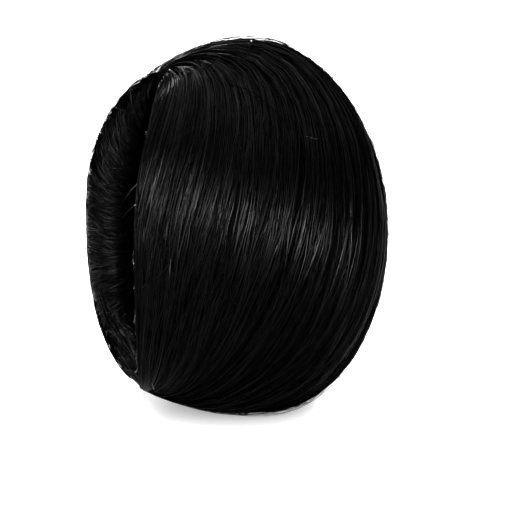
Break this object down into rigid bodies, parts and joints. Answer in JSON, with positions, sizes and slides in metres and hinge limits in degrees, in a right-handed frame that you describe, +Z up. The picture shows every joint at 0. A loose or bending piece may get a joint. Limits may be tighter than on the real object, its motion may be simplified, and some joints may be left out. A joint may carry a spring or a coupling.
{
  "type": "claw clip hair bun",
  "caption": "False-hair bun on a hidden claw clip: locks run from an upper to a lower gather over a dome, with jaws lined by rolls of hair that open at the back to grip gathered hair.",
  "frame": {"origin": "table level, under the middle of the bun's outline as seen from above", "axes": "+X from the opening at the back out through the crown of the dome, +Y towards the half on the right of someone facing the dome, +Z up from the lower gather to the upper one"},
  "size_m": [0.0888, 0.112, 0.118],
  "materials": {
    "hair": "fine glossy black synthetic fibre",
    "claw": "plain black plastic"
  },
  "bodies": {
    "root": {"outer_hair_left": "hair", "outer_hair_right": "hair", "jaw_roll_left": "hair", "jaw_roll_right": "hair", "claw_clip": "claw"}
  },
  "joints": []
}
